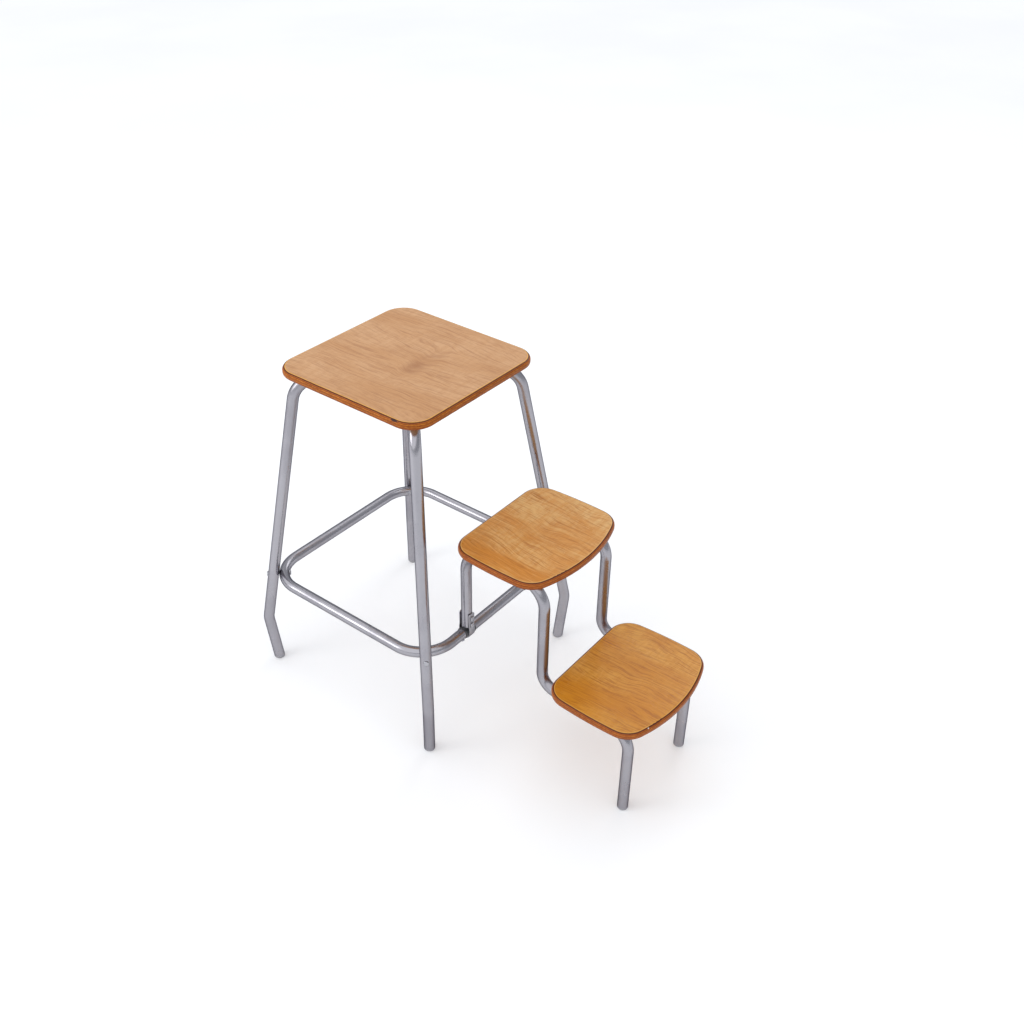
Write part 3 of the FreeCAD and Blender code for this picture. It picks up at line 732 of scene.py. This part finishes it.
def ply_edge_group():
    """Group that reads the height on a board and gives masks for its rounded edge."""
    tree, given, made = new_group(
        "Ply Edge",
        [("Place", "NodeSocketVector", None), ("Top", "NodeSocketFloat", 0.6),
         ("Thickness", "NodeSocketFloat", BOARD_THICKNESS)],
        [("Edge", "NodeSocketFloat"), ("Worn Line", "NodeSocketFloat"), ("Glue Lines", "NodeSocketFloat"),
         ("Bands", "NodeSocketFloat"), ("Fibres", "NodeSocketFloat"), ("Depth", "NodeSocketFloat")])
    place = given.outputs["Place"]
    wander = scaled_noise(tree, place, WANDER_SCALE, detail=2)
    wander = math_node(tree, "MULTIPLY", math_node(tree, "SUBTRACT", wander, 0.5), WANDER)
    depth = math_node(tree, "SUBTRACT", given.outputs["Top"], one_axis(tree, place, "Z"))
    wandering = math_node(tree, "ADD", depth, wander)
    slight = math_node(tree, "MULTIPLY_ADD", wander, SLIGHT_PART, depth)
    from_below = math_node(tree, "SUBTRACT", given.outputs["Thickness"], depth)
    edge = math_node(tree, "MULTIPLY", remap(tree, depth, *TOP_EDGE), remap(tree, from_below, *BOTTOM_EDGE))
    worn = math_node(tree, "MULTIPLY", edge, remap(tree, slight, *WORN_END, 1.0, 0.0))
    first_glue = math_node(tree, "MULTIPLY", remap(tree, slight, *FIRST_GLUE_START),
                           remap(tree, wandering, *FIRST_GLUE_END, 1.0, 0.0))
    from_start = math_node(tree, "ADD", wandering, PLY_START)
    plies = math_node(tree, "DIVIDE", from_start, given.outputs["Thickness"])
    plies = math_node(tree, "MULTIPLY", plies, PLY_COUNT)
    saw = math_node(tree, "FRACT", plies)
    between = math_node(tree, "ABSOLUTE", math_node(tree, "SUBTRACT", saw, 0.5))
    thin_glue = math_node(tree, "MULTIPLY", remap(tree, between, *GLUE_WIDTH),
                          remap(tree, wandering, *THIN_GLUE_START))
    fade = scaled_noise(tree, place, (30, 30, 160), detail=2, offset=(9, 2, 1))
    thin_glue = math_node(tree, "MULTIPLY", thin_glue, remap(tree, fade, 0.35, 0.65, *GLUE_FADE))
    glue = math_node(tree, "MULTIPLY", edge, math_node(tree, "MAXIMUM", first_glue, thin_glue))
    which = math_node(tree, "FRACT", math_node(tree, "MULTIPLY", math_node(tree, "FLOOR", plies), 0.5))
    bands = math_node(tree, "MULTIPLY", which, 2.0)
    along = scaled_noise(tree, place, (170, 170, 1700), detail=2)
    end_grain = scaled_noise(tree, place, (900, 900, 500), detail=2, offset=(4, 4, 4))
    fibres = mixed(tree, bands, along, end_grain)
    send_out(tree, made, Edge=edge, Worn_Line=worn, Glue_Lines=glue, Bands=bands, Fibres=fibres, Depth=depth)
    return tree


BIRCH_FIGURE = birch_figure_group()
PLY_EDGE = ply_edge_group()
print("groups:", BIRCH_FIGURE.name, PLY_EDGE.name)

# %% [markdown]
# ## Lacquered plywood
#
# The seat is pale birch that has gone a soft tan, with a brown knot shadow near its
# middle. The treads are deeper amber, as if given one more coat. One function makes the
# face and another the rim, and the boards differ in their colours, the height of their
# top and the place of the knot. Two boards also have a small chip, made as a ragged oval
# of another colour. Lacquer is a clear film over the wood, so the wood gets the broad
# colour and the coat gets the sharper highlight.

# %% The veneer face of a board
RIPPLE_SHARE, LINE_SHARE, PORE_SHARE = 0.45, 0.22, 0.30
DARK_STREAK_SHARE, PALE_STREAK_SHARE = 0.42, 0.35
# Painted reflection: the tone lightens towards +X, standing for the bright backdrop seen in the lacquer.
PAINTED_REFLECTION_ALONG_X = (-0.10, 0.07)           # where a drifting tone starts and ends
SMOKE_SCALE = (34, 14, 0)


def veneer_face(tree, place, figure, pale, deep, knot_colour, knot_strength, grain, drift):
    """Colour of the veneer. The drift is how strongly a painted reflection lightens the tone towards +X."""
    tone = remap(tree, figure.outputs["Clouds"], 0.30, 0.70)
    # Painted reflection of the bright backdrop, lighter towards +X.
    if drift:
        painted_reflection = remap(tree, one_axis(tree, place, "X"), *PAINTED_REFLECTION_ALONG_X, drift, -drift)
        tone = math_node(tree, "ADD", tone, painted_reflection, clamp=True)
    ripples = remap(tree, figure.outputs["Ripples"], 0.38, 0.66, 0.0, RIPPLE_SHARE)
    dark_streaks = remap(tree, figure.outputs["Streaks"], 0.47, 0.66, 0.0, DARK_STREAK_SHARE * grain)
    pale_streaks = remap(tree, figure.outputs["Streaks"], 0.30, 0.46, PALE_STREAK_SHARE * grain, 0.0)
    lines = math_node(tree, "MULTIPLY", figure.outputs["Lines"], LINE_SHARE)
    pores = math_node(tree, "MULTIPLY", figure.outputs["Pores"], PORE_SHARE * grain)
    smoke = scaled_noise(tree, place, SMOKE_SCALE, detail=4, distortion=1.2, offset=(1, 6, 0))
    knot = math_node(tree, "MULTIPLY", figure.outputs["Knot"], remap(tree, smoke, 0.30, 0.68))
    knot = math_node(tree, "MULTIPLY", knot, knot_strength)
    face = mixed(tree, tone, pale, deep)
    for share, colour in ((ripples, deep), (dark_streaks, knot_colour), (pale_streaks, pale),
                          (lines, knot_colour), (pores, knot_colour), (knot, knot_colour)):
        face = mixed(tree, share, face, colour)
    return face


# %% The rim of a board, and a chip
BAND_SHARE, GLUE_SHARE = 0.60, 0.95
# Painted shade: the rim darkens towards its bottom, where the rounded edge turns under.
LOW_RIM, RIM_SHADE_SHARE = (0.0070, 0.0115), 0.90         # the rim is darker near its bottom
GLUE_COLOUR = (0.070, 0.010, 0.001)
CHIP_RAG_SCALE, CHIP_RAGGEDNESS, CHIP_END = (420, 420, 420), 0.9, (1.15, 1.45)


def ply_rim(tree, ply, light, dark, worn):
    """Colour of the rounded edge, with its plies, a worn line at the top, glue lines and painted shade
    towards the bottom.
    """
    bands = math_node(tree, "MULTIPLY", ply.outputs["Bands"], BAND_SHARE)
    painted_rim_shade = remap(tree, ply.outputs["Depth"], *LOW_RIM, 0.0, RIM_SHADE_SHARE)
    glue = math_node(tree, "MULTIPLY", ply.outputs["Glue Lines"], GLUE_SHARE)
    rim = mixed(tree, remap(tree, ply.outputs["Fibres"], 0.30, 0.72), light, dark)
    for share, colour in ((bands, dark), (painted_rim_shade, dark), (ply.outputs["Worn Line"], worn),
                          (glue, GLUE_COLOUR)):
        rim = mixed(tree, share, rim, colour)
    return rim


def chipped(tree, place, colour, chip_place, chip_size, chip_colour):
    """Colour with a small ragged oval of another colour in it."""
    away = vector_math(tree, "SUBTRACT", place, chip_place)
    distance = vector_math(tree, "LENGTH", vector_math(tree, "DIVIDE", away, chip_size))
    ragged = math_node(tree, "MULTIPLY", scaled_noise(tree, place, CHIP_RAG_SCALE, detail=3),
                       CHIP_RAGGEDNESS)
    span = math_node(tree, "ADD", distance, ragged)
    return mixed(tree, remap(tree, span, *CHIP_END, 1.0, 0.0), colour, chip_colour)


# %% Make the plywood materials
COAT_WEIGHT, COAT_ROUGHNESS, WOOD_SPECULAR = 0.22, 0.20, 0.22
COAT_END = (0.0003, 0.0020)             # depths below the top where the lacquer is worn off
SMOOTHER, ROUGHER = 0.05, 0.09          # patches rubbed smoother or rougher than the board
PORE_ROUGHNESS, EDGE_ROUGHNESS = 0.10, 0.12
PORE_RELIEF, RELIEF_STRENGTH, RELIEF_DEPTH = -0.25, 0.35, 0.00025


def plywood(name, top, pale, deep, knot_colour, edge_light, edge_dark, worn, centre, swirl, seed,
            knot_strength, rough, grain, drift=0.0, chips=()):
    """Lacquered birch plywood for one board."""
    material, tree, shader = new_material(name, Roughness=rough)
    shader.inputs["Coat Roughness"].default_value = COAT_ROUGHNESS
    shader.inputs["Specular IOR Level"].default_value = WOOD_SPECULAR
    place = object_place(tree)
    figure = use_group(tree, BIRCH_FIGURE, Place=place, Swirl_Centre=centre, Swirl=swirl, Seed=seed)
    ply = use_group(tree, PLY_EDGE, Place=place, Top=top)
    face = veneer_face(tree, place, figure, pale, deep, knot_colour, knot_strength, grain, drift)
    rim = ply_rim(tree, ply, edge_light, edge_dark, worn)
    colour = mixed(tree, ply.outputs["Edge"], face, rim)
    for chip in chips:
        colour = chipped(tree, place, colour, *chip)
    tree.links.new(colour, shader.inputs["Base Color"])
    coat = remap(tree, ply.outputs["Depth"], *COAT_END, COAT_WEIGHT, 0.0)
    tree.links.new(coat, shader.inputs["Coat Weight"])
    rub = scaled_noise(tree, place, (22, 9, 22), detail=3, offset=(8, 8, 8))
    roughness = remap(tree, rub, 0.3, 0.7, rough - SMOOTHER, rough + ROUGHER)
    roughness = math_node(tree, "MULTIPLY_ADD", figure.outputs["Pores"], PORE_ROUGHNESS, roughness)
    roughness = math_node(tree, "MULTIPLY_ADD", ply.outputs["Edge"], EDGE_ROUGHNESS, roughness)
    tree.links.new(roughness, shader.inputs["Roughness"])
    relief = math_node(tree, "MULTIPLY_ADD", ply.outputs["Glue Lines"], -1.0,
                       math_node(tree, "MULTIPLY", figure.outputs["Pores"], PORE_RELIEF))
    bump(tree, shader, relief, RELIEF_STRENGTH, RELIEF_DEPTH)
    return material


def dress(node, material):
    """Puts a material on a CAD node that stays."""
    mesh = frame["nodes"][node].data
    mesh.materials.clear()
    mesh.materials.append(material)


def board_middle(node):
    """Middle of a board's top face."""
    low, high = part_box(node)
    return Vector(((low.x + high.x) / 2, (low.y + high.y) / 2, high.z))


seat_top = board_middle("seat_board")
middle_top = board_middle("middle_tread")
lower_top = board_middle("lower_tread")

KNOT_AHEAD = Vector((0, -0.024, 0))     # the seat's knot lies a little ahead of its middle
seat_chip = ((seat_top.x - 0.1475, seat_top.y - 0.107, seat_top.z - 0.0016),
             (0.0040, 0.0080, 0.0016), (0.045, 0.012, 0.010))
dress("seat_board", plywood(
    "seat_plywood", seat_top.z, pale=(0.64, 0.370, 0.190), deep=(0.54, 0.275, 0.118),
    knot_colour=(0.37, 0.165, 0.070), edge_light=(0.58, 0.190, 0.016), edge_dark=(0.29, 0.060, 0.001),
    worn=(0.82, 0.42, 0.07), centre=tuple(seat_top + KNOT_AHEAD), swirl=0.012, seed=0.0,
    knot_strength=0.85, rough=0.36, grain=1.35, chips=[seat_chip]))

TREAD_LOOK = {"edge_light": (0.56, 0.175, 0.024), "edge_dark": (0.29, 0.060, 0.004),
              "swirl": 0.003, "knot_strength": 0.15, "rough": 0.30}
lower_chip = ((-0.078, -0.3625, lower_top.z - 0.0008), (0.0022, 0.0022, 0.0014), (0.75, 0.62, 0.50))
# On the treads the drift is a painted reflection, a tone that lightens towards +X.
dress("middle_tread", plywood(
    "middle_tread_plywood", middle_top.z, pale=(0.68, 0.400, 0.150), deep=(0.56, 0.216, 0.030),
    knot_colour=(0.36, 0.120, 0.018), worn=(0.70, 0.38, 0.10), centre=tuple(middle_top), seed=0.31,
    grain=1.7, drift=0.35, **TREAD_LOOK))
dress("lower_tread", plywood(
    "lower_tread_plywood", lower_top.z, pale=(0.61, 0.282, 0.040), deep=(0.51, 0.186, 0.008),
    knot_colour=(0.33, 0.095, 0.004), worn=(0.68, 0.34, 0.06), centre=tuple(lower_top), seed=0.57,
    grain=1.8, drift=0.10, chips=[lower_chip], **TREAD_LOOK))
for node in ("seat_board", "middle_tread", "lower_tread"):
    print(node, "->", frame["nodes"][node].data.materials[0].name)

# %% [markdown]
# ## Satin aluminium enamel on the tubes
#
# The tubes are steel with a silver-grey finish that is smooth but not mirror bright: it
# shows long soft reflections, dark towards the sides. Metallic at middling roughness
# gives that. A dark specular tint takes down what the tubes reflect at a grazing angle,
# which is what darkens their sides. Metal flake adds very fine speckle, handling leaves
# duller patches, and small scuffs show a little brighter.

# %% Make the tube finish
def metal_flake_group():
    """Group that gives fine flake, broad wear and small scratches from 0 to 1."""
    tree, given, made = new_group(
        "Worn Metal", [("Place", "NodeSocketVector", None), ("Seed", "NodeSocketFloat", 0.0)],
        [("Flake", "NodeSocketFloat"), ("Wear", "NodeSocketFloat"), ("Scuffs", "NodeSocketFloat")])
    place = vector_math(tree, "ADD", given.outputs["Place"], given.outputs["Seed"])
    flake = scaled_noise(tree, place, (2600, 2600, 2600), detail=1)
    wear = remap(tree, scaled_noise(tree, place, (14, 14, 9), detail=4, roughness=0.6), 0.35, 0.68)
    scuffs = remap(tree, scaled_noise(tree, place, (60, 60, 400), detail=2, roughness=0.7), 0.70, 0.82)
    send_out(tree, made, Flake=flake, Wear=wear, Scuffs=scuffs)
    return tree


WORN_METAL = metal_flake_group()
GRAZING_TINT = (0.10, 0.10, 0.12, 1.0)
FLAKE_SHARE, SCUFF_SHARE, SCUFF_ROUGHNESS = 0.16, 0.3, 0.12
UNWORN, WORN = 0.04, 0.06               # smoother and rougher than the finish's middle


def metal(name, light, dark, rough, seed):
    """Metal finish with flake, broad wear and scuffs."""
    material, tree, shader = new_material(name, Metallic=1.0, Roughness=rough)
    shader.inputs["Specular Tint"].default_value = GRAZING_TINT
    worn = use_group(tree, WORN_METAL, Place=object_place(tree), Seed=seed)
    colour = mixed(tree, worn.outputs["Wear"], light, dark)
    colour = mixed(tree, math_node(tree, "MULTIPLY", worn.outputs["Flake"], FLAKE_SHARE), colour, dark)
    colour = mixed(tree, math_node(tree, "MULTIPLY", worn.outputs["Scuffs"], SCUFF_SHARE), colour, light)
    tree.links.new(colour, shader.inputs["Base Color"])
    roughness = remap(tree, worn.outputs["Wear"], 0.0, 1.0, rough - UNWORN, rough + WORN)
    roughness = math_node(tree, "MULTIPLY_ADD", worn.outputs["Scuffs"], SCUFF_ROUGHNESS, roughness)
    tree.links.new(roughness, shader.inputs["Roughness"])
    bump(tree, shader, worn.outputs["Flake"], 0.05, 0.00005)
    return material


tube_finish = metal("silver_enamel", light=(0.415, 0.405, 0.435), dark=(0.345, 0.335, 0.365),
                    rough=0.27, seed=0.0)
strap_finish = metal("strap_zinc", light=(0.44, 0.435, 0.46), dark=(0.33, 0.325, 0.35),
                     rough=0.32, seed=2.0)
head_finish = metal("fastener_zinc", light=(0.52, 0.52, 0.55), dark=(0.36, 0.36, 0.39),
                    rough=0.28, seed=4.0)

for node in ["rail_ring", "side_tube_left", "side_tube_right"] + ["leg_" + corner for corner in CORNERS]:
    dress(node, tube_finish)
    print(node, "->", tube_finish.name)

# %% [markdown]
# ## Moulded plastic
#
# The foot plugs are grey plastic, matte and lighter towards the floor. The hinge
# liners are black plastic that has picked up metal dust from the rail, so they look
# mottled.

# %% Make the plastics and dress every other piece
FLOOR_PALING_HEIGHT = 6 * MM
PIMPLE_SCALE, PIMPLE_STRENGTH, PIMPLE_DEPTH = (1500, 1500, 1500), 0.12, 0.00006


def moulded_plastic(name, clean, dusty, rough, scale, seed, floor_paling=0.0):
    """Matte plastic with a mottled film of dust, and lighter towards the floor."""
    material, tree, shader = new_material(name, Roughness=rough)
    place = object_place(tree)
    mottle = scaled_noise(tree, place, (scale, scale, scale), detail=4, roughness=0.62,
                          offset=(seed, 0, 0))
    dust = remap(tree, mottle, 0.38, 0.70)
    # The plug's colour shifts to the lighter grey over its lowest few millimetres.
    if floor_paling:
        low = remap(tree, one_axis(tree, place, "Z"), 0.0, FLOOR_PALING_HEIGHT, floor_paling, 0.0)
        dust = math_node(tree, "ADD", dust, low, clamp=True)
    tree.links.new(mixed(tree, dust, clean, dusty), shader.inputs["Base Color"])
    tree.links.new(remap(tree, dust, 0.0, 1.0, rough - 0.08, rough + 0.12), shader.inputs["Roughness"])
    bump(tree, shader, scaled_noise(tree, place, PIMPLE_SCALE, detail=1), PIMPLE_STRENGTH, PIMPLE_DEPTH)
    return material


plug_plastic = moulded_plastic("foot_plug_plastic", clean=(0.27, 0.27, 0.30), dusty=(0.38, 0.37, 0.38),
                               rough=0.50, scale=180, seed=1.0, floor_paling=0.35)
liner_plastic = moulded_plastic("liner_plastic", clean=(0.022, 0.022, 0.025), dusty=(0.10, 0.10, 0.11),
                                rough=0.45, scale=420, seed=5.0)
for side, _ in SIDES:
    dress("hinge_liner_" + side, liner_plastic)

for piece in bpy.data.objects:
    if piece.type == "MESH" and piece.name not in frame["nodes"]:
        finish = head_finish
        if piece.name.startswith("strap_"):
            finish = strap_finish
        elif piece.name.endswith("_moulded"):
            finish = plug_plastic
        piece.data.materials.clear()
        piece.data.materials.append(finish)
        print(piece.name, "->", finish.name)

# %% [markdown]
# ## Floor, light and camera
#
# The setting is a plain pale floor under large soft lights, so shadows are faint. Metal
# needs something darker to reflect as well, or it turns as flat as paper: the world
# beyond the floor is a mid grey, and the tubes' sides pick it up. The floor glows very
# faintly, which lightens the shadows further. The camera stands ahead of the steps and to
# their left, and looks down at about thirty-five degrees.

# %% Floor and lights
FLOOR_RADIUS, FLOOR_GLOW, FLOOR_GLOSS = 30.0, 0.06, 0.2
CEILING_STRENGTH, CEILING_SPREAD = 1.75, math.radians(120)
CEILING_WAY = Vector((0.42, -0.12, -1))
LIT_PLACE = (0, 0, 0.3)                 # the middle of the stool, where the windows point
WORLD_COLOUR, WORLD_STRENGTH = (0.80, 0.83, 0.88, 1.0), 0.62

bpy.ops.object.select_all(action="DESELECT")
bpy.ops.mesh.primitive_circle_add(vertices=96, radius=FLOOR_RADIUS, fill_type="NGON", location=(0, 0, 0))
floor = bpy.context.active_object
floor.name = floor.data.name = "floor"
floor_material, floor_tree, floor_shader = new_material("pale_floor", Roughness=0.7)
floor_shader.inputs["Specular IOR Level"].default_value = FLOOR_GLOSS
floor_shader.inputs["Emission Color"].default_value = (1.0, 1.0, 1.0, 1.0)
floor_shader.inputs["Emission Strength"].default_value = FLOOR_GLOW
mottle = scaled_noise(floor_tree, object_place(floor_tree), (1.3, 1.3, 1.3), detail=3)
floor_tone = remap(floor_tree, mottle, 0.3, 0.7)
floor_tree.links.new(mixed(floor_tree, floor_tone, (0.90, 0.905, 0.915), (0.93, 0.935, 0.94)),
                     floor_shader.inputs["Base Color"])
floor.data.materials.append(floor_material)


def soft_light(name, place, aim, size, power):
    """Square area light at a place, turned to an aim point."""
    data = bpy.data.lights.new(name, "AREA")
    data.shape = "SQUARE"
    data.size = size
    data.energy = power
    light = bpy.data.objects.new(name, data)
    light.location = place
    light.rotation_euler = (Vector(aim) - Vector(place)).to_track_quat("-Z", "Y").to_euler()
    bpy.context.scene.collection.objects.link(light)
    return light


sun = bpy.data.lights.new("ceiling_light", "SUN")
sun.energy = CEILING_STRENGTH
sun.angle = CEILING_SPREAD
ceiling = bpy.data.objects.new("ceiling_light", sun)
ceiling.rotation_euler = CEILING_WAY.to_track_quat("-Z", "Y").to_euler()
bpy.context.scene.collection.objects.link(ceiling)
soft_light("left_window", place=(-2.2, 1.6, 1.6), aim=LIT_PLACE, size=1.2, power=14)
soft_light("right_window", place=(2.6, 0.4, 2.2), aim=LIT_PLACE, size=1.4, power=12)

world = bpy.data.worlds.new("studio")
bpy.context.scene.world = world
world.use_nodes = True
world.node_tree.nodes["Background"].inputs["Color"].default_value = WORLD_COLOUR
world.node_tree.nodes["Background"].inputs["Strength"].default_value = WORLD_STRENGTH
bpy.context.scene.view_settings.view_transform = "Standard"

# %% Camera
SENSOR_WIDTH = 36       # millimetres, as the lens is


def aim_camera(place, heading, tilt, roll, lens):
    """Camera at a place. The heading is from +X towards +Y, the tilt is downwards."""
    heading, tilt, roll = (math.radians(angle) for angle in (heading, tilt, roll))
    ahead = Vector((math.cos(tilt) * math.cos(heading), math.cos(tilt) * math.sin(heading), -math.sin(tilt)))
    right = Vector((math.sin(heading), -math.cos(heading), 0))
    up = right.cross(ahead)
    right, up = (math.cos(roll) * right + math.sin(roll) * up, math.cos(roll) * up - math.sin(roll) * right)
    data = bpy.data.cameras.new("camera")
    data.lens = lens
    data.sensor_width = SENSOR_WIDTH
    camera = bpy.data.objects.new("camera", data)
    turn = Matrix((right, up, -ahead)).transposed().to_4x4()
    camera.matrix_world = Matrix.Translation(place) @ turn
    bpy.context.scene.collection.objects.link(camera)
    bpy.context.scene.camera = camera


aim_camera(place=(-1.1718, -0.9318, 1.4483), heading=37.37, tilt=35.40, roll=0.86, lens=40.12)
print("camera at", [round(c, 3) for c in bpy.context.scene.camera.matrix_world.translation])
